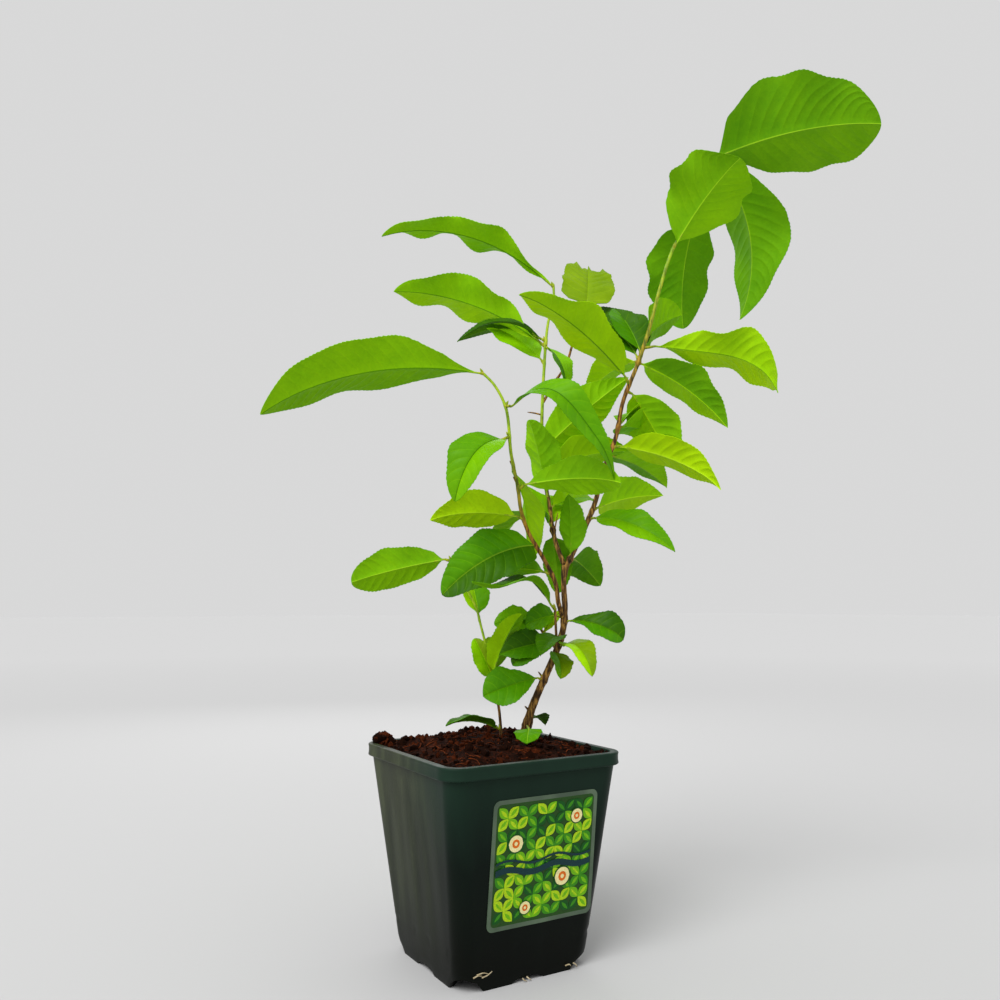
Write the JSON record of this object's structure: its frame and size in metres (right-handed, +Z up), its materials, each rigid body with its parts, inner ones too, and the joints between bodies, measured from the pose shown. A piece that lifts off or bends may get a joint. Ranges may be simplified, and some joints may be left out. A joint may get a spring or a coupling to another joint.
{
  "type": "potted young tea bush",
  "caption": "Young tea bush with a leaning trunk, upright leafy shoots and long pointed toothed leaves, growing in a tapered square plastic nursery pot filled with soil.",
  "frame": {"origin": "centre of the pot's flat underside", "axes": "+Z up; the pot's faces look along X and Y, the label is on the -Y face, and the tall shoot leans towards +X and -Y"},
  "size_m": [0.2675, 0.1631, 0.416],
  "materials": {
    "pot": "moulded dark green plastic, softly glossy",
    "soil": "loose moist peat soil",
    "label": "printed glossy film",
    "bark": "young striped bark",
    "foliage": "fresh leathery leaves"
  },
  "bodies": {
    "root": {"pot": "pot", "soil": "soil", "label": "label", "trunk": "bark", "bough_right_lower": "bark", "bough_right_upper": "bark", "bough_middle_lower": "bark", "bough_middle_upper": "bark", "bough_left_lower": "bark", "bough_left_upper": "bark", "foliage_right_top": "foliage", "foliage_right": "foliage", "foliage_middle_top": "foliage", "foliage_middle_twig": "foliage", "foliage_middle_low": "foliage", "foliage_left_top": "foliage", "foliage_left_low": "foliage", "foliage_thin_shoot": "foliage", "foliage_basal_shoot": "foliage", "foliage_sprig": "foliage", "leaf_trunk_foot": "foliage", "leaf_trunk_back": "foliage", "leaf_trunk_low": "foliage", "leaf_trunk_front": "foliage", "leaf_trunk_middle": "foliage", "leaf_trunk_left": "foliage", "leaf_trunk_high": "foliage", "leaf_left_bough": "foliage", "leaf_fork_right": "foliage", "leaf_fork_front": "foliage"}
  },
  "joints": []
}
